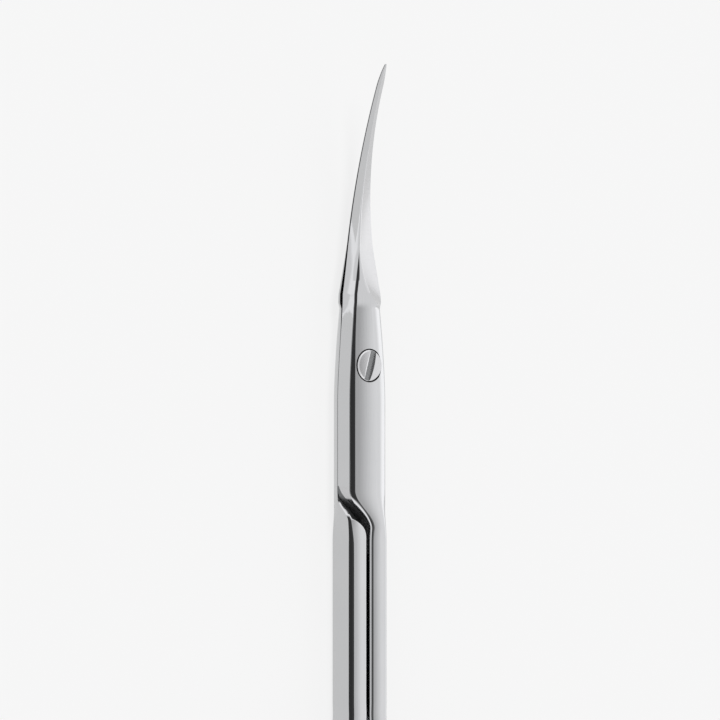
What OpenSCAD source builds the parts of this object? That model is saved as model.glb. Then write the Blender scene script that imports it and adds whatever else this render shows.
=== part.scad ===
// Cuticle scissors: two curved halves that cross on a slotted tension screw.
// X runs to the tips, Z up through the screw head, and the pivot axis stands at X 0, Y 0.
// The lower half lies on Z 0. The upper half turns about +Z, and 0 degrees is closed.
// A half is skinned over sections. Each section is drawn in (s, h): s runs from the pivot
// axis towards the half's own cutting edge and shank, h from the mating face outwards.

/* [Overall] */
// Sub-part to draw
// Pivot axis to the tips
blade_reach = 31.5; // [30:0.5:34]
// Thickness of one half at the joint
half_thickness = 1.65; // [1.65:0.05:1.8]
// Half the width of the joint at the mating face
joint_half_width = 3; // [2.9:0.01:3.05]
// Distance that each mating face keeps from the shared mating surface
mating_clearance = 0.03; // [0.02:0.01:0.04]

/* [Blades] */
// Where the cutting edge starts, measured from the pivot
heel_x = 6.5; // [6:0.1:7.5]
// Where the ground bevel has reached the spine
bevel_full_x = 12.4; // [11.5:0.1:14]
// How far the heel of the edge stands proud of the joint
heel_step = 0.24; // [0.16:0.01:0.32]
// Half the width of the blades at the heel
heel_half_width = 2.45; // [2.35:0.05:2.55]
// Half the width just behind the point
tip_half_width = 0.36; // [0.3:0.02:0.5]
// Length over which the tip comes to its point
tip_point = 1.2; // [0.8:0.1:1.4]
// Power of the taper from heel to tip
taper_power = 1.9; // [1.7:0.05:2]
// Radius of the upward curve of the blades
curve_radius = 47; // [45:1:60]
// Distance from the pivot at which that curve starts
curve_start = 12; // [10:0.1:12.4]
// Depth of the hollow on the inner face, at the spine
hollow_depth = 0.22; // [0.1:0.02:0.36]
// Thickness of the cutting edge
edge_thickness = 0.1; // [0.08:0.01:0.14]
// Share of the thickness that is lost by the tip
spine_loss = 0.8; // [0.7:0.02:0.84]

/* [Shanks] */
// Half the slot between the closed shanks
shank_gap_half = 0.17; // [0.15:0.01:0.25]
// Outer side of the shanks, from the middle line
shank_outer = 2.6; // [2.5:0.05:2.8]
// Half the thickness of a shank
shank_half_thickness = 1.65; // [1.5:0.05:1.65]
// Where the shanks start to bow apart
bow_x = -36.5; // [-38:0.5:-35]
// Half the width to which the shank flares at its ring
flare_half_width = 2.1; // [1.8:0.1:2.3]

/* [Finger rings] */
// Ring centre, behind the pivot
ring_x = -60; // [-62:0.5:-59.5]
// Ring centre, beside the middle line
ring_y = 13.5; // [13.4:0.1:15]
// Half the length of the ring, to the middle of its rod
ring_half_length = 13.5; // [13:0.1:14]
// Half the width of the ring, to the middle of its rod
ring_half_width = 11.5; // [11:0.1:11.6]
// Radius of the two end arcs
ring_end_radius = 10; // [9.8:0.1:10.4]
// Radius of the ring's rod
rod_radius = 1.6; // [1.4:0.05:1.6]
// Outward lean of the ring
ring_tilt = 8; // [4:1:10]

/* [Tension screw] */
// Radius of the plain shank
screw_radius = 1.2; // [1:0.05:1.3]
// Radial running clearance in both halves
screw_clearance = 0.04; // [0.02:0.01:0.08]
// Radius of the head
head_radius = 1.65; // [1.5:0.05:1.75]
// Height of the head, of which the seat hides a part
head_height = 0.5; // [0.45:0.05:0.6]
// Width of the driver slot
slot_width = 0.7; // [0.5:0.05:0.8]
// Depth of the driver slot
slot_depth = 0.25; // [0.15:0.05:0.3]
// Direction of the driver slot, from the tips
slot_angle = -16.5; // [-90:0.5:90]

/* [Hidden] */
mating_z = half_thickness + mating_clearance;
belly_x = -4;
belly_length = 11;
taper_x = 7.5;
facet_width = 0.5;
facet_height = 0.27;
outer_facet_width = 1.15;
outer_facet_height = 0.4;
bevel_inset = 1.1;
joint_slant = 0.17;
belly_slant = 0.17;
blade_slant = -0.12;
lean_x = 2;
lean_length = 10;
spine_round = 0.04;
shank_edge_round = 0.4;
shank_outer_round = 0.6;
shank_mid = (shank_gap_half + shank_outer) / 2;
shank_half_width = (shank_outer - shank_gap_half) / 2;
shoulder_front_x = -13.1;
shoulder_back_x = -17.2;
ledge_front_x = -13.8;
ledge_full_x = -16.3;
ledge_corner_x = -16;
ledge_back_x = -18.6;
round_steps = 3;
bevel_steps = 4;
bow_steps = 14;
ring_stations = 72;
rod_sides = 12;
join_station = 5;
join_standoff = 2.2;
end_recess = 0.15;
head_gap = 0.03;
seat_depth = 0.5;
seat_clearance = 0.11;
head_chamfer = 0.14;
$fn = 64;

steel = [0.80, 0.81, 0.82];
dark_steel = [0.70, 0.71, 0.73];

function ease(t) = let (c = min(max(t, 0), 1)) c * c * (3 - 2 * c);
function ramp(x, x0, x1, v0, v1) = v0 + (v1 - v0) * ease((x - x0) / (x1 - x0));
function mix(a, b, t) = a + (b - a) * t;
function unit(v) = v / norm(v);
function bend(a, c, b, u) = (1 - u) * (1 - u) * a + 2 * u * (1 - u) * c + u * u * b;

// Height of the shared mating surface: a dish about the pivot axis, so that the
// blades pass each other at every opening.
function dish(x, s) =
    let (d = norm([x, s]) - curve_start)
    x > 0 && d > 0 ? curve_radius - sqrt(curve_radius * curve_radius - d * d) : 0;

// Widths and heights along the blade
function along(x) = (x - heel_x) / (blade_reach - heel_x);
function past_belly(x) = max(0, (x - belly_x) / (blade_reach - belly_x));
function tip_cut(x) =
    let (d = max(0, x - blade_reach + tip_point) / tip_point)
    pow(max(1 - pow(d, 1.3), 0.04), 0.65);
function half_width(x) =
    x <= taper_x
        ? mix(joint_half_width, heel_half_width, ease((x - belly_x) / belly_length))
        : tip_cut(x) * mix(tip_half_width, heel_half_width,
            pow(1 - (x - taper_x) / (blade_reach - taper_x), taper_power));
function face_height(x) = half_thickness * (1 - spine_loss * pow(past_belly(x), 1.5));
// How far a side wall leans in from the mating face to the facet, as a share of the width
function lean(x) =
    joint_slant + belly_slant * ease((x - lean_x) / lean_length)
        + blade_slant * ease((x - lean_x - lean_length) / 6);
// The polished facet between wall and face shrinks to nothing where the bevel is full
function facet_size(x) =
    (1 - 0.5 * ease((x - belly_x) / (heel_x - belly_x)))
        * (1 - ease((x - heel_x - 2.5) / (bevel_full_x - heel_x - 2.5)));

// One section. left and right are its walls at the mating face, edge is how the outer face
// meets the left wall: [width, height, bulge]. depth is the part past the mating face.
function section(left, left_top, right, wall_top, face_h, edge, bevel_s, control,
                 ledge_s, ledge_top_s, foot_h, depth, ledge_round, outer_round, hollow) =
    let (
        width = right - left,
        top = [for (i = [0 : bevel_steps]) bend(wall_top, control, [bevel_s, face_h], i / bevel_steps)],
        edge_in = [left_top + edge[0], face_h],
        edge_out = [left_top, face_h - edge[1]],
        edge_corner = [left_top, face_h],
        spine = [for (i = [0 : round_steps])
            bend(edge_in, mix((edge_in + edge_out) / 2, edge_corner, edge[2]), edge_out,
                 i / round_steps)],
        ledge_corner = [ledge_top_s, -depth],
        ledge_foot = [ledge_s, -foot_h],
        inner = [for (i = [0 : round_steps])
            bend(ledge_corner + ledge_round * unit(ledge_foot - ledge_corner), ledge_corner,
                 ledge_corner + [ledge_round, 0], i / round_steps)],
        outer = [for (i = [0 : round_steps])
            bend([right - outer_round, -depth], [right, -depth],
                 [right, -max(depth - outer_round, 0)], i / round_steps)],
        under = concat([[left, 0], ledge_foot], inner, outer)
    )
    concat(
        [[right, 0.3 * min(0.4, wall_top[1])]], top, spine,
        [for (p = under) p + [0, hollow * (1 - pow((p[0] - left) / width, 2))]]
    );

// The section at x, from the tip to where the shanks start to bow
function straight_section(x) =
    let (
        w = half_width(x),
        blade = ease((x - heel_x + 0.6) / 0.8),
        proud = blade * heel_step * max(0, 1 - along(x) * 4),
        shank = ease((x - shoulder_front_x) / (ledge_back_x - shoulder_front_x)),
        right = mix(w + proud, shank_outer, shank),
        left = x > 0 ? -w : ramp(x, shoulder_front_x, shoulder_back_x, -w, shank_gap_half),
        slant = (1 - shank) * lean(x) * w,
        left_top = left + slant,
        right_top = right - slant,
        face_h = mix(face_height(x), shank_half_thickness, shank),
        facet = facet_size(x),
        fine = spine_round * min(1, w),
        edge = [
            mix(fine + facet_width * facet, shank_edge_round, shank),
            mix(fine + facet_height * facet, shank_edge_round, shank),
            mix(0.15, 1, shank)
        ],
        belly = ease((x - belly_x) / (heel_x - belly_x)),
        corner = [
            mix(outer_facet_width * (1 - 0.4 * belly), shank_outer_round, shank),
            mix(outer_facet_height, shank_outer_round, shank)
        ],
        wall_s = mix(right_top, right - 0.02, blade),
        sweep = min(max((x - heel_x) / (bevel_full_x - heel_x), 0), 1),
        edge_land = edge_thickness * (1 + 2 * (1 - sweep)),
        wall_top = [wall_s, mix(face_h - corner[1], edge_land, blade)],
        bevel_share = mix(1 - sqrt(1 - pow(1 - sweep, 2)), pow(1 - sweep, 1.7), 0.65),
        bevel_front_s = mix(right_top - corner[0], w - bevel_inset, blade),
        bevel_s = mix(left_top + edge[0] + 0.02, bevel_front_s, bevel_share),
        bevel_end = [bevel_s, face_h],
        chord = (wall_top + bevel_end) / 2,
        control = mix(mix(chord, [right_top, face_h], edge[2]), chord - [0, 0.03 * w], blade),
        plain = ease((ledge_front_x - x + 2) / 2),
        ledge_run = min(max((ledge_corner_x - x) / (ledge_corner_x - ledge_back_x), 0), 1),
        ledge_s = x > ledge_front_x
            ? mix(mix(left, right, 0.45), w - 0.2, plain)
            : ramp(x, ledge_front_x, ledge_back_x + 0.6, w - 0.2, shank_gap_half),
        ledge_top_s = x > ledge_front_x
            ? mix(mix(left, right, 0.7), w - 0.14, plain)
            : mix(w - 0.14, shank_gap_half, 1 - pow(1 - ledge_run, 2.5)),
        depth = ramp(x, ledge_front_x, ledge_full_x, 0, shank_half_thickness),
        foot_h = 0.1 * depth * ease((shoulder_back_x - 0.4 - x) / 1.2),
        ledge_round = x > ledge_front_x ? mix(0.08 * (right - left), 0.03, plain)
            : ramp(x, ledge_front_x, ledge_back_x, 0.03, shank_edge_round),
        outer_round = x > ledge_front_x ? mix(0.12 * (right - left), 0.08, plain)
            : ramp(x, ledge_front_x, ledge_back_x, 0.08, shank_edge_round),
        hollow = hollow_depth * ease((x - 2.5) / 6) * w / joint_half_width
    )
    [for (p = section(left, left_top, right, wall_top, face_h, edge, bevel_s, control, ledge_s,
                      ledge_top_s, foot_h, depth, ledge_round, outer_round, hollow))
        [x, p[0], p[1] + mating_clearance]];

// The finger ring is a four-centred oval of round rod. Its frame, in (x, s), points to the
// front and to the middle line, and each station is placed by its outward normal.
ring_front = [cos(ring_tilt), -sin(ring_tilt)];
ring_inward = [-sin(ring_tilt), -cos(ring_tilt)];
ring_end_offset = ring_half_length - ring_end_radius;
ring_side_radius =
    (pow(ring_end_offset, 2) + pow(ring_half_width, 2) - pow(ring_end_radius, 2))
        / (2 * (ring_half_width - ring_end_radius));
ring_side_offset = ring_side_radius - ring_half_width;
arc_change = atan2(ring_side_offset, ring_end_offset);
function ring_normal(turn) = cos(turn) * ring_front + sin(turn) * ring_inward;
function ring_centre(turn) =
    abs(cos(turn)) > cos(arc_change)
        ? sign(cos(turn)) * ring_end_offset * ring_front + ring_end_radius * ring_normal(turn)
        : -sign(sin(turn)) * ring_side_offset * ring_inward
            + ring_side_radius * ring_normal(turn);
function ring_point(turn, around) =
    let (p = [ring_x, ring_y] + ring_centre(turn) + rod_radius * cos(around) * ring_normal(turn))
    [p[0], p[1], rod_radius * sin(around)];

// The shank bows out along a cubic curve and meets the ring's rod square on.
join_turn = join_station * 360 / ring_stations;
join_normal = ring_normal(join_turn);
join = [ring_x, ring_y] + ring_centre(join_turn) + join_standoff * join_normal;
bow = [[bow_x, shank_mid], [bow_x - 5, shank_mid], join + 4 * join_normal, join];
function bow_at(t) =
    pow(1 - t, 3) * bow[0] + 3 * t * pow(1 - t, 2) * bow[1]
    + 3 * t * t * (1 - t) * bow[2] + pow(t, 3) * bow[3];
function bow_way(t) =
    unit(pow(1 - t, 2) * (bow[1] - bow[0]) + 2 * t * (1 - t) * (bow[2] - bow[1])
        + t * t * (bow[3] - bow[2]));

// The section at share t of the bow, which rounds off and flares towards the rod
function bow_section(t) =
    let (
        flare = 1 - sqrt(1 - pow(max(0, (t - 0.55) / 0.45), 2)),
        w = mix(shank_half_width, flare_half_width, flare),
        h = ramp(t, 0.7, 1, shank_half_thickness, 0.92 * rod_radius),
        r = ramp(t, 0, 0.8, shank_edge_round, 0.85),
        outer = ramp(t, 0, 0.8, shank_outer_round, 0.85),
        way = bow_way(t),
        across = [way[1], -way[0]],
        at = bow_at(t)
    )
    [for (p = section(-w, -w, w, [w, h - outer], h, [r, r, 1], w - outer, [w, h],
                      -w, -w, 0.1 * h, h, r, r, 0))
        let (q = at + p[0] * across) [q[0], q[1], p[1]]];

function spread(a, b, n) = [for (i = [0 : n - 1]) a + (b - a) * i / n];
stations = concat(
    [for (d = [0, 0.06, 0.18, 0.35, 0.6, 0.85]) blade_reach - d * tip_point],
    spread(blade_reach - tip_point - 0.1, bevel_full_x, 18),
    spread(bevel_full_x, heel_x, 10),
    spread(heel_x, heel_x - 1, 5),
    spread(heel_x - 1, ledge_front_x + 2, 5),
    spread(ledge_front_x + 2, ledge_front_x, 4),
    spread(ledge_front_x, ledge_back_x, 16),
    spread(ledge_back_x, bow_x, 3)
);
rings_of_points = concat(
    [for (x = stations) straight_section(x)],
    [for (i = [0 : bow_steps]) bow_section(i / bow_steps)]
);

// The rod is a closed tube with a patch left out, and the last section of the shank is
// joined to the edge of that patch. An edge point is [stations from the middle, steps up].
patch_edge = concat(
    [for (f = [0 : 2]) [3, f]], [for (a = [2 : -1 : -2]) [a, 2]],
    [for (f = [2 : -1 : -2]) [-3, f]], [for (a = [-2 : 2]) [a, -2]],
    [for (f = [-2 : -1]) [3, f]]
);
function in_patch(i, j) =
    abs(i - join_station + 0.5) < 3 && (j < 2 || j >= rod_sides - 2);

// Skins one half. side 1 is the upper half, side -1 the lower half, which is the upper
// one turned over about the X axis except for the rise of the blades.
module skinned_half(side) {
    count = len(rings_of_points[0]);
    last = len(rings_of_points) - 1;
    rod_start = (last + 1) * count;
    flat = concat(
        [for (ring = rings_of_points) for (p = ring) p],
        [for (i = [0 : ring_stations - 1]) for (j = [0 : rod_sides - 1])
            ring_point(i * 360 / ring_stations, j * 360 / rod_sides)]);
    points = [for (p = flat) [p[0], -side * p[1], mating_z + dish(p[0], p[1]) + side * p[2]]];
    edge = [for (e = patch_edge)
        rod_start + (join_station - e[0]) * rod_sides + (e[1] + rod_sides) % rod_sides];
    tip = [[for (j = [0 : count - 1]) j]];
    walls = [for (i = [0 : last - 1]) for (j = [0 : count - 1])
        let (a = i * count + j, b = i * count + (j + 1) % count)
        each [[a, b + count, b], [a, a + count, b + count]]];
    joint = [for (j = [0 : count - 1])
        let (a = last * count + j, b = last * count + (j + 1) % count)
        each [[a, edge[(j + 1) % count], b], [a, edge[j], edge[(j + 1) % count]]]];
    rod = [for (i = [0 : ring_stations - 1]) for (j = [0 : rod_sides - 1])
        if (!in_patch(i, j))
            let (
                a = rod_start + i * rod_sides + j,
                b = rod_start + i * rod_sides + (j + 1) % rod_sides,
                step = (i == ring_stations - 1 ? 1 - ring_stations : 1) * rod_sides
            )
            each [[a, b, b + step], [a, b + step, a + step]]];
    polyhedron(points, concat(tip, walls, joint, rod), convexity = 8);
}

module scissor_half(side) {
    difference() {
        skinned_half(side);
        translate([0, 0, -1])
            cylinder(r = screw_radius + screw_clearance, h = 2 * mating_z + 2);
        if (side > 0)
            translate([0, 0, 2 * mating_z - seat_depth])
                cylinder(r = head_radius + seat_clearance, h = seat_depth + 1);
    }
}

module lower_half() {
    color(dark_steel) scissor_half(-1);
}

module upper_half() {
    color(steel) scissor_half(1);
}

// Plain shank, low chamfered head and a driver slot
module pivot_screw() {
    head_z = 2 * mating_z - seat_depth + head_gap;
    color(steel)
        difference() {
            union() {
                translate([0, 0, end_recess])
                    cylinder(r = screw_radius, h = head_z - end_recess + 0.1);
                translate([0, 0, head_z])
                    cylinder(r = head_radius, h = head_height - head_chamfer);
                translate([0, 0, head_z + head_height - head_chamfer])
                    cylinder(r1 = head_radius, r2 = head_radius - head_chamfer, h = head_chamfer);
            }
            rotate([0, 0, slot_angle])
                translate([-head_radius - 1, -slot_width / 2, head_z + head_height - slot_depth])
                    cube([2 * head_radius + 2, slot_width, slot_depth + 1]);
        }
}

lower_half();
upper_half();
pivot_screw();
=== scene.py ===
import math

import bmesh
import bpy
from mathutils import Matrix, Vector


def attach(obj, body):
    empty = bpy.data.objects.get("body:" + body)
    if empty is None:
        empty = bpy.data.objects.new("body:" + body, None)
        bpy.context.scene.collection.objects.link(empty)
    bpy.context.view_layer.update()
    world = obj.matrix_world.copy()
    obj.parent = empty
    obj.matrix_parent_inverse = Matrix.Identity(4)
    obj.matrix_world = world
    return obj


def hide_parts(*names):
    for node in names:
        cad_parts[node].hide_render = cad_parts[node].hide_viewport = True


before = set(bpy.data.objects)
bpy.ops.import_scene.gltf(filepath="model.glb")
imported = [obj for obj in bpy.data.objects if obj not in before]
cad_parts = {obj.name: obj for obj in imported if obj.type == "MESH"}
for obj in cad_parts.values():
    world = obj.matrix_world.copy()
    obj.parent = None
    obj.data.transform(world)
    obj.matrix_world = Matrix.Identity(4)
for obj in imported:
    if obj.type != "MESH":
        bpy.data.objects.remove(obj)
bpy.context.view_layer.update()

mm = 0.001

# camera: long lens, above and to the left of the closed scissors, tips up in the picture
shot = {
    "tilt": 40.0,          # degrees off the flat faces, towards the lower half's ring
    "frameSize": 75.8,     # mm that the picture spans at the pivot
    "pictureSize": 720.0,  # pixels along each side of the picture
    "pivotAt": (359.6, 365.5),  # where the pivot falls in the picture, in pixels
    "lens": 200.0,
    "sensorWidth": 36.0,
    "aimHeight": 1.68,     # mm, the plane where the halves meet
}


def setCamera(v):
    tilt = math.radians(v["tilt"])
    back = Vector((0, math.sin(tilt), math.cos(tilt)))
    right = Vector((0, -math.cos(tilt), math.sin(tilt)))
    up = Vector((1, 0, 0))
    perPixel = v["frameSize"] / v["pictureSize"]
    middle = v["pictureSize"] / 2
    aim = Vector((0, 0, v["aimHeight"]))
    aim += right * (middle - v["pivotAt"][0]) * perPixel
    aim += up * (v["pivotAt"][1] - middle) * perPixel
    data = bpy.data.cameras.new("shotCamera")
    data.lens = v["lens"]
    data.sensor_width = v["sensorWidth"]
    distance = v["frameSize"] * v["lens"] / data.sensor_width
    data.clip_start = 0.01
    data.clip_end = 20.0
    camera = bpy.data.objects.new("shotCamera", data)
    bpy.context.scene.collection.objects.link(camera)
    turn = Matrix((right, up, back)).transposed().to_4x4()
    camera.matrix_world = Matrix.Translation((aim + back * distance) * mm) @ turn
    bpy.context.scene.camera = camera


setCamera(shot)
print("camera set")


def linear(hexColour):
    channels = [int(hexColour[i:i + 2], 16) / 255 for i in (1, 3, 5)]
    return tuple(c / 12.92 if c <= 0.04045 else ((c + 0.055) / 1.055) ** 2.4
                 for c in channels) + (1.0,)


def addNode(tree, kind, settings=None, links=None):
    node = tree.nodes.new(kind)
    for name, value in (settings or {}).items():
        if isinstance(name, int) or name in node.inputs:
            node.inputs[name].default_value = value
        else:
            setattr(node, name, value)
    for name, source in (links or {}).items():
        tree.links.new(source, node.inputs[name])
    return node


def newMaterial(name):
    material = bpy.data.materials.new(name)
    material.use_nodes = True
    tree = material.node_tree
    tree.nodes.clear()
    out = addNode(tree, "ShaderNodeOutputMaterial")
    shader = addNode(tree, "ShaderNodeBsdfPrincipled")
    tree.links.new(shader.outputs[0], out.inputs[0])
    return material, tree, shader


# stainless steel, buffed on a cloth wheel: a near mirror with a faint haze and hairlines
polish = {
    "colour": "#CACACB",
    "hazeColour": "#C2C3C4",
    "roughLow": 0.05,
    "roughHigh": 0.12,
    "hazeSize": 6.0,       # mm across a cloud of haze
    "hairline": 0.12,      # mm between buffing hairlines, drawn coarser than real so they show
    "hairlineDepth": 0.00002,
}


def polishedStainless(v, name="polishedStainless"):
    material, tree, shader = newMaterial(name)
    shader.inputs["Metallic"].default_value = 1.0
    where = addNode(tree, "ShaderNodeTexCoord")
    cloud = addNode(tree, "ShaderNodeTexNoise",
                    {"Scale": 1 / (v["hazeSize"] * mm), "Detail": 3.0, "Roughness": 0.55},
                    {"Vector": where.outputs["Object"]})
    tint = addNode(tree, "ShaderNodeMix",
                   {"data_type": "RGBA", 6: linear(v["hazeColour"]), 7: linear(v["colour"])},
                   {0: cloud.outputs["Fac"]})
    tree.links.new(tint.outputs[2], shader.inputs["Base Color"])
    # buffing runs along the scissors, so the lines are long in X and close in Y and Z
    stretch = addNode(tree, "ShaderNodeMapping", {"Scale": (0.03, 1.0, 1.0)},
                      {"Vector": where.outputs["Object"]})
    hair = addNode(tree, "ShaderNodeTexNoise",
                   {"Scale": 1 / (v["hairline"] * mm), "Detail": 2.0},
                   {"Vector": stretch.outputs[0]})
    rough = addNode(tree, "ShaderNodeMapRange",
                    {"From Min": 0.3, "From Max": 0.75,
                     "To Min": v["roughLow"], "To Max": v["roughHigh"]},
                    {"Value": hair.outputs["Fac"]})
    tree.links.new(rough.outputs[0], shader.inputs["Roughness"])
    bump = addNode(tree, "ShaderNodeBump",
                   {"Strength": 0.04, "Distance": v["hairlineDepth"]},
                   {"Height": hair.outputs["Fac"]})
    tree.links.new(bump.outputs[0], shader.inputs["Normal"])
    return material


# the same steel off a fine grinding wheel: satin, with lines across the blade
grind = {
    "colour": "#C8C8C9",
    "darkColour": "#C1C1C2",
    "roughLow": 0.16,
    "roughHigh": 0.26,
    "lineSpacing": 0.06,   # mm between grinding lines, drawn coarser than real so they show
    "lineDepth": 0.00001,
}


def groundStainless(v, name="groundStainless"):
    material, tree, shader = newMaterial(name)
    shader.inputs["Metallic"].default_value = 1.0
    where = addNode(tree, "ShaderNodeTexCoord")
    stretch = addNode(tree, "ShaderNodeMapping", {"Scale": (1.0, 0.05, 0.05)},
                      {"Vector": where.outputs["Object"]})
    lines = addNode(tree, "ShaderNodeTexNoise",
                    {"Scale": 1 / (v["lineSpacing"] * mm), "Detail": 3.0},
                    {"Vector": stretch.outputs[0]})
    tint = addNode(tree, "ShaderNodeMix",
                   {"data_type": "RGBA", 6: linear(v["darkColour"]), 7: linear(v["colour"])},
                   {0: lines.outputs["Fac"]})
    tree.links.new(tint.outputs[2], shader.inputs["Base Color"])
    rough = addNode(tree, "ShaderNodeMapRange",
                    {"From Min": 0.3, "From Max": 0.7,
                     "To Min": v["roughLow"], "To Max": v["roughHigh"]},
                    {"Value": lines.outputs["Fac"]})
    tree.links.new(rough.outputs[0], shader.inputs["Roughness"])
    bump = addNode(tree, "ShaderNodeBump", {"Strength": 0.1, "Distance": v["lineDepth"]},
                   {"Height": lines.outputs["Fac"]})
    tree.links.new(bump.outputs[0], shader.inputs["Normal"])
    return material


# dull steel, darkened below the polished steel as painted shade for the shoulders, the holes and
# the screw head's side; its grain and roughness are the steel's own
paintedShade = {
    "colour": "#828384",
    "darkColour": "#747576",
    "grain": 0.25,         # mm between the grains of the skin
    "roughLow": 0.5,
    "roughHigh": 0.65,
}


def shadeDarkenedStainless(v, name="shadeDarkenedStainless"):
    material, tree, shader = newMaterial(name)
    shader.inputs["Metallic"].default_value = 1.0
    where = addNode(tree, "ShaderNodeTexCoord")
    grain = addNode(tree, "ShaderNodeTexNoise",
                    {"Scale": 1 / (v["grain"] * mm), "Detail": 4.0, "Roughness": 0.6},
                    {"Vector": where.outputs["Object"]})
    tint = addNode(tree, "ShaderNodeMix",
                   {"data_type": "RGBA", 6: linear(v["darkColour"]), 7: linear(v["colour"])},
                   {0: grain.outputs["Fac"]})
    tree.links.new(tint.outputs[2], shader.inputs["Base Color"])
    rough = addNode(tree, "ShaderNodeMapRange",
                    {"To Min": v["roughLow"], "To Max": v["roughHigh"]},
                    {"Value": grain.outputs["Fac"]})
    tree.links.new(rough.outputs[0], shader.inputs["Roughness"])
    bump = addNode(tree, "ShaderNodeBump", {"Strength": 0.15, "Distance": 0.00002},
                   {"Height": grain.outputs["Fac"]})
    tree.links.new(bump.outputs[0], shader.inputs["Normal"])
    return material


# stainless screw, faced on a lathe: fine rings round the axis
turned = {
    "colour": "#CDCDCE",
    "roughLow": 0.08,
    "roughHigh": 0.2,
    "ringSpacing": 0.06,   # mm between tool rings, drawn coarser than real so they show
}


def turnedStainless(v, name="turnedStainless"):
    material, tree, shader = newMaterial(name)
    shader.inputs["Metallic"].default_value = 1.0
    shader.inputs["Base Color"].default_value = linear(v["colour"])
    where = addNode(tree, "ShaderNodeTexCoord")
    rings = addNode(tree, "ShaderNodeTexWave",
                    {"wave_type": "RINGS", "rings_direction": "Z",
                     "Scale": 1 / (v["ringSpacing"] * mm) / 6.283, "Distortion": 0.6,
                     "Detail": 1.0},
                    {"Vector": where.outputs["Object"]})
    rough = addNode(tree, "ShaderNodeMapRange",
                    {"To Min": v["roughLow"], "To Max": v["roughHigh"]},
                    {"Value": rings.outputs["Fac"]})
    tree.links.new(rough.outputs[0], shader.inputs["Roughness"])
    bump = addNode(tree, "ShaderNodeBump", {"Strength": 0.06, "Distance": 0.00002},
                   {"Height": rings.outputs["Fac"]})
    tree.links.new(bump.outputs[0], shader.inputs["Normal"])
    return material


# the slot's floor: dull, and darker than the turned head as painted shade in the slot, paler than
# the darker steel
slotFloorShade = {**paintedShade, "colour": "#A8A9AA", "darkColour": "#A0A1A2"}

polished = polishedStainless(polish)
ground = groundStainless(grind)
# the darker steel is painted shade, used in the shoulders, the holes and round the screw's head
paintedShadeSteel = shadeDarkenedStainless(paintedShade)
turnedSteel = turnedStainless(turned)
shadedSlotFloor = shadeDarkenedStainless(slotFloorShade, "shadedSlotFloor")
print("materials made")


def newPiece(mesh, name, materials):
    data = bpy.data.meshes.new(name)
    mesh.to_mesh(data)
    mesh.free()
    for material in materials:
        data.materials.append(material)
    piece = bpy.data.objects.new(name, data)
    bpy.context.scene.collection.objects.link(piece)
    return piece


# what is cut shows the cutter's materials
def cutAway(piece, tool):
    cut = piece.modifiers.new("cut", "BOOLEAN")
    cut.operation = "DIFFERENCE"
    cut.solver = "EXACT"
    cut.material_mode = "TRANSFER"
    cut.object = tool
    bpy.context.view_layer.update()
    graph = bpy.context.evaluated_depsgraph_get()
    done = bpy.data.meshes.new_from_object(piece.evaluated_get(graph))
    piece.modifiers.clear()
    piece.data = done
    bpy.data.objects.remove(tool)


# creases stay sharp, and wide faces set the normals beside narrow ones
def weighNormals(piece, creaseAngle, weight):
    piece.data.set_sharp_from_angle(angle=math.radians(creaseAngle))
    weigh = piece.modifiers.new("weightedNormals", "WEIGHTED_NORMAL")
    weigh.keep_sharp = True
    weigh.weight = weight


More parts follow.
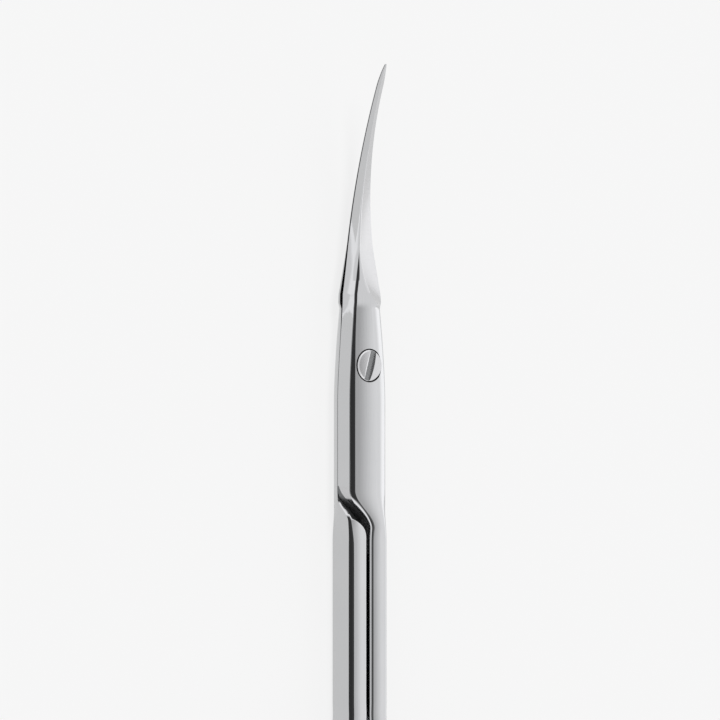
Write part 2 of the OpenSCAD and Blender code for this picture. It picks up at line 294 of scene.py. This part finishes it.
# one half, in mm: the same forms as the solid, drawn finer. X runs from the pivot to the tips
half = {
    "bladeReach": 31.5,
    "thickness": 1.65,
    "jointHalfWidth": 3.0,
    "heelHalfWidth": 2.45,
    "jointSlant": 0.17,    # lean of the side walls, as shares of the half width
    "bellySlant": 0.17,    # added ahead of the joint
    "bladeSlant": -0.12,   # added along the blade
    "leanX": 2.0,
    "leanLength": 10.0,
    "bladeLeanLength": 6.0,
    "matingClearance": 0.03,  # from the plane where the halves meet to each mating face
    "bellyX": -4.0,        # where the joint starts to narrow and thin towards the heel
    "bellyLength": 11.0,
    "taperX": 7.5,         # where the blade starts to narrow
    "facetWidth": 0.5,     # the polished facet between wall and face, at the joint
    "facetHeight": 0.27,
    "facetBulge": 0.15,    # 0 is a flat facet, 1 a round corner
    "facetEndX": 9.0,      # ahead of this it runs out into the bevel
    "outerFacetWidth": 1.15,  # the same on the outer side, softer
    "outerFacetHeight": 0.4,
    "bevelInset": 1.1,
    "spineRound": 0.04,
    "heelX": 6.5,          # where the bevel starts
    "bevelFullX": 12.4,    # where it reaches the spine
    "heelStep": 0.24,      # how far the edge stands out behind the heel
    "tipHalfWidth": 0.36,
    "taperPower": 1.9,
    "curveRadius": 47.0,   # of the blades' upward curve
    "curveStart": 12.0,
    "hollowDepth": 0.22,   # of the hollow ground into the inner face
    "edgeThickness": 0.1,  # of the cutting edge
    "spineLoss": 0.8,      # share of the thickness that is gone at the tip
    "faceCrown": 0.1,      # fall of the buffed faces at their edges, at the joint's width
    "shankGapHalf": 0.17,  # from the middle line to each shank
    "shankOuter": 2.6,
    "shankHalfThickness": 1.65,
    "shankEdgeRound": 0.4,
    "shankOuterRound": 0.6,
    "shoulderFrontX": -13.1,
    "shoulderBackX": -17.2,
    "ledgeFrontX": -13.8,
    "ledgeFullX": -16.3,
    "ledgeCornerX": -16.0,
    "ledgeBackX": -18.6,
    "ledgeFootInset": 0.2,  # the ledge at its front, in from the joint's side
    "ledgeTopInset": 0.14,
    "ledgeEdgeRound": 0.03,
    "ledgeLand": (0.02, 0.12),  # flat beside the under facet, at the front and further back
    "underFacet": (0.1, 0.054),  # width and height of the under facet at the ledge's front
    "underFacetLength": 5.0,  # along which it grows to the size of the facet above
    "paintedShadeX": -12.5,        # where the painted shade starts on the shoulder's inner wall
    "paintedShadeLength": 3.4,     # along which it climbs to the facet
    "buffedShare": (0.33, 0.98, 0.9),  # of the wall left polished above the painted shade: ahead, at the shade's start, lost behind
    "bowX": -36.5,
    "bowPull": (5.0, 4.0),  # how far the bow runs on straight from the shank and from the ring
    "bowRound": 0.85,      # of its edges at the ring
    "flareStart": 0.55,    # share of the bow after which it widens
    "flareHalfWidth": 2.1,
    "ringCentre": (-60.0, 13.5),
    "ringHalfLength": 13.5,
    "ringHalfWidth": 11.5,
    "ringEndRadius": 10.0,  # the oval is two end arcs and two side arcs
    "rodRadius": 1.59,
    "ringTilt": 8.0,
    "joinTurn": 25.0,      # degrees round the ring from its front to the shank
    "joinStandoff": 2.2,
    "crotchReach": 4.2,    # how far round the join the file and buff have blended it
    "crotchPasses": 14,
    "tipPoint": 2.0,       # the last stretch of the blade, where it comes to its point
    "creaseAngle": 32.0,   # degrees, past which an edge is left sharp
    "bore": 1.24,
    "seatRadius": 1.77,    # of the seat for the screw's head, in the upper half
    "seatZ": 2.86,
}


def ease(t):
    c = min(max(t, 0.0), 1.0)
    return c * c * (3 - 2 * c)


def ramp(x, x0, x1, v0, v1):
    return v0 + (v1 - v0) * ease((x - x0) / (x1 - x0))


def mix(a, b, t):
    return a + (b - a) * t


def bendPoints(start, control, end, steps):
    start, control, end = Vector(start), Vector(control), Vector(end)
    shares = [i / steps for i in range(steps + 1)]
    return [(1 - u) ** 2 * start + 2 * u * (1 - u) * control + u * u * end for u in shares]


def between(a, b, count):
    return [Vector(a).lerp(Vector(b), (i + 1) / (count + 1)) for i in range(count)]


def dish(v, x, s):
    d = math.hypot(x, s) - v["curveStart"]
    if x <= 0 or d <= 0:
        return 0.0
    return v["curveRadius"] - math.sqrt(v["curveRadius"] ** 2 - d * d)


# a section has 64 points, s across and h up from the mating face: middle of the outer wall,
# top corner or bevel 2-12, face 13-18, facet 19-29, inner wall 30-32, ledge 33-51 and under
# corner 52-60. A strip of faces has the number of its first point
cornerSteps = 10
underSteps = 8
sectionCount = 64
bevelStrips = range(2, 12)
wallStrip = 29
innerStrips = range(32, 60)
# strips of the shoulder's inner wall that take the darker steel as painted shade
paintedShadeStrips = range(30, 40)
crispLines = (19, 29, 52, 60)  # where a polished facet meets its neighbours
polishedSlot, groundSlot, paintedShadeSlot = 0, 1, 2
innerEdgeStretch = 1.4  # the ledge's inner edge is rounded further along the face than down


def section(v, left, leftTop, right, wallTop, faceH, edge, bevelS, control, ledgeS,
            ledgeTopS, footH, depth, ledgeRound, under, hollow, crown, buffed=0.33):
    width = right - left
    middle = Vector((right, 0.3 * min(0.4, wallTop[1])))
    top = bendPoints(wallTop, control, (bevelS, faceH), cornerSteps)
    edgeIn, edgeOut = Vector((leftTop + edge[0], faceH)), Vector((leftTop, faceH - edge[1]))
    edgeMiddle = ((edgeIn + edgeOut) / 2).lerp(Vector((leftTop, faceH)), edge[2])
    face = between((bevelS, faceH), edgeIn, 6)
    spine = bendPoints(edgeIn, edgeMiddle, edgeOut, cornerSteps)
    inside = Vector((left, 0.0))
    foot = Vector((ledgeS, -footH))
    corner = Vector((ledgeTopS, -depth))
    away = (foot - corner).normalized()
    inner = bendPoints(corner + ledgeRound * away, corner,
                       corner + Vector((innerEdgeStretch * ledgeRound, 0)), underSteps)
    outerIn = Vector((right - under[0], -depth))
    outerOut = Vector((right, -max(depth - under[1], 0)))
    outerMiddle = ((outerIn + outerOut) / 2).lerp(Vector((right, -depth)), under[2])
    outer = bendPoints(outerIn, outerMiddle, outerOut, underSteps)
    wall = spine[-1].lerp(inside, buffed)
    upper = ([middle] + between(middle, top[0], 1) + top + face + spine
             + [wall, (wall + inside) / 2])
    lower = ([inside] + between(inside, foot, 3) + [foot] + between(foot, inner[0], 3) + inner
             + between(inner[-1], outer[0], 3) + outer)
    lower = [p + Vector((0, hollow * (1 - ((p.x - left) / width) ** 2))) for p in lower]
    points = upper + lower + between(lower[-1], middle, 3)
    # the crown lowers the outer faces towards both edges, never past the solid
    centre, reach = (leftTop + right) / 2, (right - leftTop) / 2
    for i, p in enumerate(points):
        fall = crown * min(1.0, ((p.x - centre) / reach) ** 2)
        if 2 <= i < 30:
            p.y -= fall * min(1.0, p.y / faceH)
        elif 40 <= i <= 60 and p.y < 0:
            p.y += fall * (p.y / faceH) ** 2
    return points


# the ledge, where a half grows past the mating face to its shank's full depth: foot, top,
# inner rounding and under facet
def ledgeForm(v, x, w, left, right):
    front, back = v["ledgeFrontX"], v["ledgeBackX"]
    footS, topS = w - v["ledgeFootInset"], w - v["ledgeTopInset"]
    wide, high = v["underFacet"]
    if x > front:
        plain = ease((front - x + 2) / 2)
        width = right - left
        outerRound = mix(0.12 * width, 0.06, plain)
        under = (mix(outerRound, wide, plain), mix(outerRound, high, plain),
                 mix(1.0, v["facetBulge"], plain))
        return (mix(mix(left, right, 0.45), footS, plain), mix(mix(left, right, 0.7), topS, plain),
                mix(0.08 * width, v["ledgeEdgeRound"], plain), under)
    run = min(max((v["ledgeCornerX"] - x) / (v["ledgeCornerX"] - back), 0.0), 1.0)
    grown = min((front - x) / v["underFacetLength"], 1.0)
    under = (mix(wide, v["facetWidth"], grown), mix(high, v["facetHeight"], grown),
             v["facetBulge"])
    ledgeS = ramp(x, front, back + 0.6, footS, v["shankGapHalf"])
    ledgeRound = ramp(x, v["ledgeCornerX"], back, v["ledgeEdgeRound"], v["shankEdgeRound"])
    land = ramp(x, front, front - 1, *v["ledgeLand"])
    edgeS = right - under[0] - innerEdgeStretch * ledgeRound - land
    ledgeTopS = mix(edgeS, v["shankGapHalf"], 1 - (1 - run) ** 2.5)
    return ledgeS, ledgeTopS, ledgeRound, under


def straightSection(v, x):
    reach = v["bladeReach"]
    along = (x - v["heelX"]) / (reach - v["heelX"])
    joint = v["jointHalfWidth"]
    belly = v["bellyX"]
    w = mix(joint, v["heelHalfWidth"], ease((x - belly) / v["bellyLength"]))
    if x > v["taperX"]:
        cut = max(0.0, x - reach + v["tipPoint"]) / v["tipPoint"]
        toGo = 1 - (x - v["taperX"]) / (reach - v["taperX"])
        w = max(1 - cut ** 1.3, 0.04) ** 0.65 * mix(
            v["tipHalfWidth"], v["heelHalfWidth"], max(0.0, toGo) ** v["taperPower"])
    blade = ease((x - v["heelX"] + 0.6) / 0.8)
    shank = ease((x - v["shoulderFrontX"]) / (v["ledgeBackX"] - v["shoulderFrontX"]))
    right = mix(w + blade * v["heelStep"] * max(0.0, 1 - along * 4), v["shankOuter"], shank)
    left = -w
    if x <= 0:
        left = ramp(x, v["shoulderFrontX"], v["shoulderBackX"], -w, v["shankGapHalf"])
    lean = (v["jointSlant"] + v["bellySlant"] * ease((x - v["leanX"]) / v["leanLength"])
            + v["bladeSlant"] * ease((x - v["leanX"] - v["leanLength"])
                                     / v["bladeLeanLength"]))
    slant = (1 - shank) * lean * w
    leftTop, rightTop = left + slant, right - slant
    pastBelly = max(0.0, (x - belly) / (reach - belly))
    faceH = mix(v["thickness"] * (1 - v["spineLoss"] * pastBelly ** 1.5),
                v["shankHalfThickness"], shank)
    faceH *= 1 - 0.6 * max(0.0, (x - reach + v["tipPoint"]) / v["tipPoint"]) ** 1.5
    facet = ((1 - 0.5 * ease((x - belly) / (v["heelX"] - belly)))
             * (1 - ease((x - v["facetEndX"]) / (v["bevelFullX"] - v["facetEndX"]))))
    fine = v["spineRound"] * min(1.0, w)
    edge = (mix(fine + v["facetWidth"] * facet, v["shankEdgeRound"], shank),
            mix(fine + v["facetHeight"] * facet, v["shankEdgeRound"], shank),
            mix(v["facetBulge"], 1.0, shank))
    corner = (mix(v["outerFacetWidth"], v["shankOuterRound"], shank),
              mix(v["outerFacetHeight"], v["shankOuterRound"], shank))
    wallS = mix(rightTop, right - 0.02, blade)
    sweep = min(max((x - v["heelX"]) / (v["bevelFullX"] - v["heelX"]), 0.0), 1.0)
    edgeLand = v["edgeThickness"] * (1 + 2 * (1 - sweep))
    wallTop = (wallS, mix(faceH - corner[1], edgeLand, blade))
    bevelShare = mix(1 - math.sqrt(1 - (1 - sweep) ** 2), (1 - sweep) ** 1.7, 0.65)
    bevelFront = mix(rightTop - corner[0], w - v["bevelInset"], blade)
    bevelS = mix(leftTop + edge[0] + 0.02, bevelFront, bevelShare)
    chord = Vector(((wallTop[0] + bevelS) / 2, (wallTop[1] + faceH) / 2))
    control = chord.lerp(Vector((rightTop, faceH)), edge[2]).lerp(
        chord - Vector((0, 0.03 * w)), blade)
    ledgeS, ledgeTopS, ledgeRound, under = ledgeForm(v, x, w, left, right)
    depth = ramp(x, v["ledgeFrontX"], v["ledgeFullX"], 0.0, v["shankHalfThickness"])
    footH = 0.1 * depth * ease((v["shoulderBackX"] - 0.4 - x) / 1.2)
    hollow = v["hollowDepth"] * ease((x - 2.5) / 6) * w / joint
    crown = v["faceCrown"] * (right - leftTop) / 2 / joint * (1 - blade)
    # how far down the inner wall the polish reaches before the painted shade: all of it at the
    # joint, little behind
    ahead, atStart, lost = v["buffedShare"]
    gone = min(max((v["paintedShadeX"] - x) / v["paintedShadeLength"], 0.0), 1.0)
    buffed = mix(ahead, atStart, ease((v["paintedShadeX"] + 2 - x) / 2)) - lost * (1 - (1 - gone) ** 1.3)
    points = section(v, left, leftTop, right, wallTop, faceH, edge, bevelS, control, ledgeS,
                     ledgeTopS, footH, depth, ledgeRound, under, hollow, crown, buffed)
    return [Vector((x, p.x, p.y + v["matingClearance"])) for p in points]


def ringFrame(v):
    tilt = math.radians(v["ringTilt"])
    front = Vector((math.cos(tilt), -math.sin(tilt)))
    inward = Vector((-math.sin(tilt), -math.cos(tilt)))
    endOffset = v["ringHalfLength"] - v["ringEndRadius"]
    sideRadius = ((endOffset ** 2 + v["ringHalfWidth"] ** 2 - v["ringEndRadius"] ** 2)
                  / (2 * (v["ringHalfWidth"] - v["ringEndRadius"])))
    sideOffset = sideRadius - v["ringHalfWidth"]
    change = math.atan2(sideOffset, endOffset)

    def at(turn):
        normal = math.cos(turn) * front + math.sin(turn) * inward
        centre = Vector(v["ringCentre"])
        if abs(math.cos(turn)) > math.cos(change):
            centre += math.copysign(endOffset, math.cos(turn)) * front
            centre += v["ringEndRadius"] * normal
        else:
            centre -= math.copysign(sideOffset, math.sin(turn)) * inward
            centre += sideRadius * normal
        return centre, normal

    return at


def bowSections(v, ringAt, steps):
    middle = (v["shankGapHalf"] + v["shankOuter"]) / 2
    straightWidth = (v["shankOuter"] - v["shankGapHalf"]) / 2
    centre, normal = ringAt(math.radians(v["joinTurn"]))
    end = centre + v["joinStandoff"] * normal
    start = Vector((v["bowX"], middle))
    a, b = start - Vector((v["bowPull"][0], 0)), end + v["bowPull"][1] * normal
    full = v["bowRound"]
    sections = []
    for i in range(steps + 1):
        t = i / steps
        at = ((1 - t) ** 3 * start + 3 * t * (1 - t) ** 2 * a + 3 * t * t * (1 - t) * b
              + t ** 3 * end)
        way = (1 - t) ** 2 * (a - start) + 2 * t * (1 - t) * (b - a) + t * t * (end - b)
        way.normalize()
        across = Vector((way.y, -way.x))
        flared = max(0.0, (t - v["flareStart"]) / (1 - v["flareStart"]))
        flare = 1 - math.sqrt(max(0.0, 1 - flared ** 2))
        w = mix(straightWidth, v["flareHalfWidth"], flare)
        h = ramp(t, 0.7, 1.0, v["shankHalfThickness"], 0.92 * v["rodRadius"])
        r = ramp(t, 0.0, 0.8, v["shankEdgeRound"], full)
        outer = ramp(t, 0.0, 0.8, v["shankOuterRound"], full)
        under = (ramp(t, 0.0, 0.8, v["facetWidth"], full),
                 ramp(t, 0.0, 0.8, v["facetHeight"], full),
                 ramp(t, 0.0, 0.8, v["facetBulge"], 1.0))
        crown = v["faceCrown"] * w / v["jointHalfWidth"]
        points = section(v, -w, -w, w, (w, h - outer), h, (r, r, 1.0), w - outer, (w, h),
                         -w, -w, 0.1 * h, h, r, under, 0.0, crown)
        sections.append([Vector((*(at + p.x * across), p.y)) for p in points])
    return sections


def stationList(v):
    reach, heel, front = v["bladeReach"], v["heelX"], v["ledgeFrontX"]
    stations = [reach - v["tipPoint"] * (i / 14) ** 1.5 for i in range(14)]
    spans = ((reach - v["tipPoint"], v["bevelFullX"], 90), (v["bevelFullX"], heel, 70),
             (heel, heel - 1, 16), (heel - 1, front + 2, 24), (front + 2, front, 10),
             (front, v["ledgeBackX"], 64), (v["ledgeBackX"], v["bowX"], 16))
    for a, b, count in spans:
        stations += [a + (b - a) * i / count for i in range(count)]
    return stations


# the ring's rod has a patch left out, whose edge takes the 64 points of the last section
rodSides = 36
ringStations = 240
patchReach = 10  # stations each way along the rod
patchSteps = 6   # points each way round it
bowStations = 40


def patchEdge():
    up, along = patchSteps, patchReach
    return ([(along, f) for f in range(0, up + 1)]
            + [(a, up) for a in range(along - 1, -along, -1)]
            + [(-along, f) for f in range(up, -up - 1, -1)]
            + [(a, -up) for a in range(-along + 1, along)]
            + [(along, f) for f in range(-up, 0)])


def buildHalf(v, name, side):
    ringAt = ringFrame(v)
    sections = [straightSection(v, x) for x in stationList(v)]
    sections += bowSections(v, ringAt, bowStations)
    matingZ = v["thickness"] + v["matingClearance"]

    def place(p):
        return Vector((p.x, -side * p.y, matingZ + dish(v, p.x, p.y) + side * p.z)) * mm

    mesh = bmesh.new()
    rows = [[mesh.verts.new(place(p)) for p in points] for points in sections]
    joinStation = round(v["joinTurn"] * ringStations / 360)
    rod = []
    for i in range(ringStations):
        centre, normal = ringAt(2 * math.pi * i / ringStations)
        loop = []
        for j in range(rodSides):
            around = 2 * math.pi * j / rodSides
            flat = centre + v["rodRadius"] * math.cos(around) * normal
            hidden = (abs(i - joinStation) < patchReach
                      and min(j, rodSides - j) < patchSteps)
            spot = Vector((flat.x, flat.y, v["rodRadius"] * math.sin(around)))
            loop.append(None if hidden else mesh.verts.new(place(spot)))
        rod.append(loop)
    edge = [rod[joinStation - a][f % rodSides] for a, f in patchEdge()]

    def quad(corners, kind):
        face = mesh.faces.new(corners)
        face.material_index = kind
        face.smooth = True

    n = sectionCount
    tip = mesh.faces.new(rows[0])
    tip.smooth = True
    for row, (a, b) in enumerate(zip(rows, rows[1:])):
        x = sections[row][0].x
        for j in range(n):
            kind = polishedSlot
            if j in bevelStrips and x > v["heelX"] - 0.05:
                kind = groundSlot
            if j in innerStrips and x > v["ledgeFrontX"]:
                kind = groundSlot
            # below the polish the shoulder's inner wall takes the darker steel: painted shade in
            # the shoulder's recess
            paintedShadeStart = v["paintedShadeX"] if j < 32 else v["ledgeFrontX"] + 0.8
            if v["ledgeBackX"] - 0.5 < x < paintedShadeStart:
                if j == wallStrip:
                    kind = groundSlot
                elif j in paintedShadeStrips:
                    kind = paintedShadeSlot
            quad((a[j], b[j], b[(j + 1) % n], a[(j + 1) % n]), kind)
    crisp = mesh.edges.layers.int.new("crisp")
    for row, (a, b) in enumerate(zip(rows, rows[1:])):
        if sections[row][0].x < v["facetEndX"]:
            for j in crispLines:
                mesh.edges.get((a[j], b[j]))[crisp] = 1
    last = rows[-1]
    for j in range(n):
        quad((last[j], edge[j], edge[(j + 1) % n], last[(j + 1) % n]), polishedSlot)
    for i in range(ringStations):
        for j in range(rodSides):
            a, b = rod[i], rod[(i + 1) % ringStations]
            corners = (a[j], a[(j + 1) % rodSides], b[(j + 1) % rodSides], b[j])
            inPatch = (abs(i + 0.5 - joinStation) < patchReach
                       and abs((j + 0.5 + rodSides / 2) % rodSides - rodSides / 2) < patchSteps)
            if not inPatch:
                quad(corners, polishedSlot)
    # the crotch between shank and ring is blended the way a file and buff would leave it
    joinAt = place(Vector((*ringAt(math.radians(v["joinTurn"]))[0], 0.0)))
    near = [p for p in mesh.verts if (p.co - joinAt).length < v["crotchReach"] * mm]
    for _ in range(v["crotchPasses"]):
        bmesh.ops.smooth_vert(mesh, verts=near, factor=0.5,
                              use_axis_x=True, use_axis_y=True, use_axis_z=True)
    bmesh.ops.recalc_face_normals(mesh, faces=mesh.faces)
    return newPiece(mesh, name, (polished, ground, paintedShadeSteel))


def drill(piece, radius, low, high):
    mesh = bmesh.new()
    bmesh.ops.create_cone(mesh, cap_ends=True, segments=96, radius1=radius * mm,
                          radius2=radius * mm, depth=(high - low) * mm,
                          matrix=Matrix.Translation((0, 0, (low + high) / 2 * mm)))
    # the walls of the bore and the seat take the darker steel: painted shade in the holes
    cutAway(piece, newPiece(mesh, "drill", (paintedShadeSteel,)))


def finishHalf(piece, body, node, v):
    drill(piece, v["bore"], -1.0, 5.0)
    if body == "upper_half":
        drill(piece, v["seatRadius"], v["seatZ"], 5.0)
    weighNormals(piece, v["creaseAngle"], 80)
    for edge, mark in zip(piece.data.edges, piece.data.attributes["crisp"].data):
        if mark.value:
            edge.use_edge_sharp = True
    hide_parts(node)
    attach(piece, body)


upperHalf = buildHalf(half, "upperHalf", 1)
finishHalf(upperHalf, "upper_half", "upper_half", half)
lowerHalf = buildHalf(half, "lowerHalf", -1)
finishHalf(lowerHalf, "lower_half", "lower_half", half)
print("halves built")

# the tension screw: a low head with a chamfered rim, a driver slot and a plain shank
screw = {
    "headRadius": 1.63,
    "shankRadius": 1.2,
    "headZ": 2.89,         # under the head
    "headHeight": 0.6,
    "headDome": 0.05,      # how far the face of the head falls to its rim
    "rimChamfer": 0.12,
    "underChamfer": 0.03,
    "endZ": 0.15,
    "endChamfer": 0.1,
    "slotWidth": 0.7,
    "slotDepth": 0.14,
    "slotEdge": (0.18, 0.06),  # width and drop of its broken edges
    "slotAngle": -16.5,
    "creaseAngle": 15.0,
}


def buildScrew(v):
    top = v["headZ"] + v["headHeight"]
    r, c, under, end = v["headRadius"], v["rimChamfer"], v["underChamfer"], v["endChamfer"]
    rimTop = top - v["headDome"]
    rim = [(r - c, rimTop), (r, rimTop - c)]
    dome = [((r - c) * i / 12, top - v["headDome"] * (i / 12) ** 2) for i in range(12)]
    profile = (dome + rim
               + [(r, v["headZ"] + under), (r - under, v["headZ"]),
                  (v["shankRadius"], v["headZ"]), (v["shankRadius"], v["endZ"] + end),
                  (v["shankRadius"] - end, v["endZ"]), (0.0, v["endZ"])])
    mesh = bmesh.new()
    spots = [mesh.verts.new(Vector((x, 0, z)) * mm) for x, z in profile]
    edges = [mesh.edges.new(pair) for pair in zip(spots, spots[1:])]
    bmesh.ops.spin(mesh, geom=spots + edges, cent=(0, 0, 0), axis=(0, 0, 1),
                   angle=2 * math.pi, steps=128)
    bmesh.ops.remove_doubles(mesh, verts=mesh.verts, dist=1e-7)
    bmesh.ops.recalc_face_normals(mesh, faces=mesh.faces)
    for face in mesh.faces:
        face.smooth = True
    piece = newPiece(mesh, "tensionScrew", (turnedSteel, paintedShadeSteel))
    # the head's side and all below it take the darker steel: painted shade in the ring round the
    # head
    for face in piece.data.polygons:
        if face.center.z < (rimTop - c) * mm:
            face.material_index = 1
    # the slot widens at its top by a broken edge
    bottom, lip, across = top - v["slotDepth"], top - v["slotEdge"][1], v["slotWidth"] / 2
    slope = v["slotEdge"][0] / v["slotEdge"][1]
    outline = [(-across, bottom), (across, bottom), (across, lip),
               (across + slope, lip + 1), (-across - slope, lip + 1), (-across, lip)]
    cutter = bmesh.new()
    ends = [[cutter.verts.new(Vector((x, y, z)) * mm) for y, z in outline]
            for x in (-r - 1, r + 1)]
    # the slot's floor takes the darker slot steel: painted shade in the slot
    sideSlot, edgeSlot, floorSlot = 0, 1, 2
    for k, kind in enumerate((sideSlot, floorSlot, sideSlot, edgeSlot, sideSlot, edgeSlot)):
        face = cutter.faces.new((ends[0][k], ends[0][k - 1], ends[1][k - 1], ends[1][k]))
        face.material_index = kind
    for side in ends:
        cutter.faces.new(side)
    bmesh.ops.recalc_face_normals(cutter, faces=cutter.faces)
    cutter.transform(Matrix.Rotation(math.radians(v["slotAngle"]), 4, "Z"))
    cutAway(piece, newPiece(cutter, "slotCutter", (ground, turnedSteel, shadedSlotFloor)))
    weighNormals(piece, v["creaseAngle"], 50)
    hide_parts("pivot_screw")
    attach(piece, "screw")


buildScrew(screw)
print("screw built")

# plain studio: a pale floor, one large soft lamp, and an even pale surround with a darker
# band overhead, which the polished faces pick up
studio = {
    "floorColour": "#F3F3F3",
    "floorShade": 0.13,     # share of the floor's own shading, shadow included, that is seen
    "surround": "#FCFCFD",
    # how bright the surround is, by sideways over upwards: minus is to the right
    "levels": ((-5.0, 1.55), (-3.2, 1.2), (-1.1, 1.15), (-0.9, 1.18), (-0.84, 1.06),
               (-0.78, 0.88), (-0.7, 0.6), (-0.4, 0.28), (0.0, 0.1), (0.3, 0.05),
               (0.6, 0.05), (0.85, 1.0)),
    "bandLength": 1.2,     # half the band's length, as forwards over upwards
    "bandEdge": 0.4,       # how far each way its ends are soft
    "endLevel": 1.3,       # how bright it is past the band's ends
    "lampStrength": 2.2,
    "lampAngle": 30.0,     # degrees across, for a soft shadow
    "lampWay": (0.55, 0.1, 0.83),  # from the object to the lamp
}


def buildStudio(v):
    mesh = bmesh.new()
    bmesh.ops.create_grid(mesh, x_segments=1, y_segments=1, size=1.5)
    material, tree, shader = newMaterial("paleFloor")
    shader.inputs["Base Color"].default_value = linear(v["floorColour"])
    shader.inputs["Roughness"].default_value = 0.9
    shader.inputs["Specular IOR Level"].default_value = 0.0
    path = addNode(tree, "ShaderNodeLightPath")
    seen = addNode(tree, "ShaderNodeMath", {"operation": "MAXIMUM"},
                   {0: path.outputs["Is Camera Ray"], 1: path.outputs["Is Glossy Ray"]})
    seen = addNode(tree, "ShaderNodeMath", {"operation": "MAXIMUM"},
                   {0: seen.outputs[0], 1: path.outputs["Is Transmission Ray"]})
    share = addNode(tree, "ShaderNodeMath", {"operation": "MULTIPLY", 1: 1 - v["floorShade"]},
                    {0: seen.outputs[0]})
    paper = addNode(tree, "ShaderNodeEmission", {"Color": linear(v["floorColour"])})
    blend = addNode(tree, "ShaderNodeMixShader", None,
                    {0: share.outputs[0], 1: shader.outputs[0], 2: paper.outputs[0]})
    surface = next(n for n in tree.nodes if n.type == "OUTPUT_MATERIAL")
    tree.links.new(blend.outputs[0], surface.inputs["Surface"])
    floor = newPiece(mesh, "floor", (material,))
    floor.location = (0, 0, -0.05 * mm)

    world = bpy.data.worlds.new("studio")
    bpy.context.scene.world = world
    world.use_nodes = True
    tree = world.node_tree
    tree.nodes.clear()
    where = addNode(tree, "ShaderNodeTexCoord")
    parts = addNode(tree, "ShaderNodeSeparateXYZ", None, {0: where.outputs["Generated"]})
    up = addNode(tree, "ShaderNodeMath", {"operation": "MAXIMUM", 1: 0.02},
                 {0: parts.outputs["Z"]})
    lean = addNode(tree, "ShaderNodeMath", {"operation": "DIVIDE"},
                   {0: parts.outputs["Y"], 1: up.outputs[0]})
    low, high = v["levels"][0][0], v["levels"][-1][0]
    most = max(level for _, level in v["levels"])
    place = addNode(tree, "ShaderNodeMapRange", {"From Min": low, "From Max": high},
                    {0: lean.outputs[0]})
    shades = addNode(tree, "ShaderNodeValToRGB", None, {0: place.outputs[0]})
    stops = shades.color_ramp.elements
    for i, (way, level) in enumerate(v["levels"]):
        spot = (way - low) / (high - low)
        stop = stops[i] if i < 2 else stops.new(spot)
        stop.position = spot
        stop.color = (level / most,) * 3 + (1.0,)
    forward = addNode(tree, "ShaderNodeMath", {"operation": "DIVIDE"},
                      {0: parts.outputs["X"], 1: up.outputs[0]})
    forward = addNode(tree, "ShaderNodeMath", {"operation": "ABSOLUTE"}, {0: forward.outputs[0]})
    ends = addNode(tree, "ShaderNodeMapRange",
                   {"interpolation_type": "SMOOTHSTEP", "From Min": v["bandLength"] + v["bandEdge"],
                    "From Max": v["bandLength"] - v["bandEdge"]}, {0: forward.outputs[0]})
    glow = addNode(tree, "ShaderNodeMix",
                   {"data_type": "RGBA", 6: (v["endLevel"] / most,) * 3 + (1.0,)},
                   {0: ends.outputs[0], 7: shades.outputs[0]})
    sky = addNode(tree, "ShaderNodeMix",
                  {"data_type": "RGBA", "blend_type": "MULTIPLY", 0: 1.0,
                   7: linear(v["surround"])}, {6: glow.outputs[2]})
    back = addNode(tree, "ShaderNodeBackground", {"Strength": most}, {"Color": sky.outputs[2]})
    addNode(tree, "ShaderNodeOutputWorld", None, {"Surface": back.outputs[0]})
    lampData = bpy.data.lights.new("keyLamp", "SUN")
    lampData.energy = v["lampStrength"]
    lampData.angle = math.radians(v["lampAngle"])
    lamp = bpy.data.objects.new("keyLamp", lampData)
    lamp.rotation_euler = Vector(v["lampWay"]).to_track_quat("Z", "Y").to_euler()
    # the metal mirrors the surround alone, so the lamp leaves no burnt glints
    lamp.visible_glossy = False
    bpy.context.scene.collection.objects.link(lamp)


buildStudio(studio)
bpy.context.scene.view_settings.view_transform = "Standard"
print("studio lit")
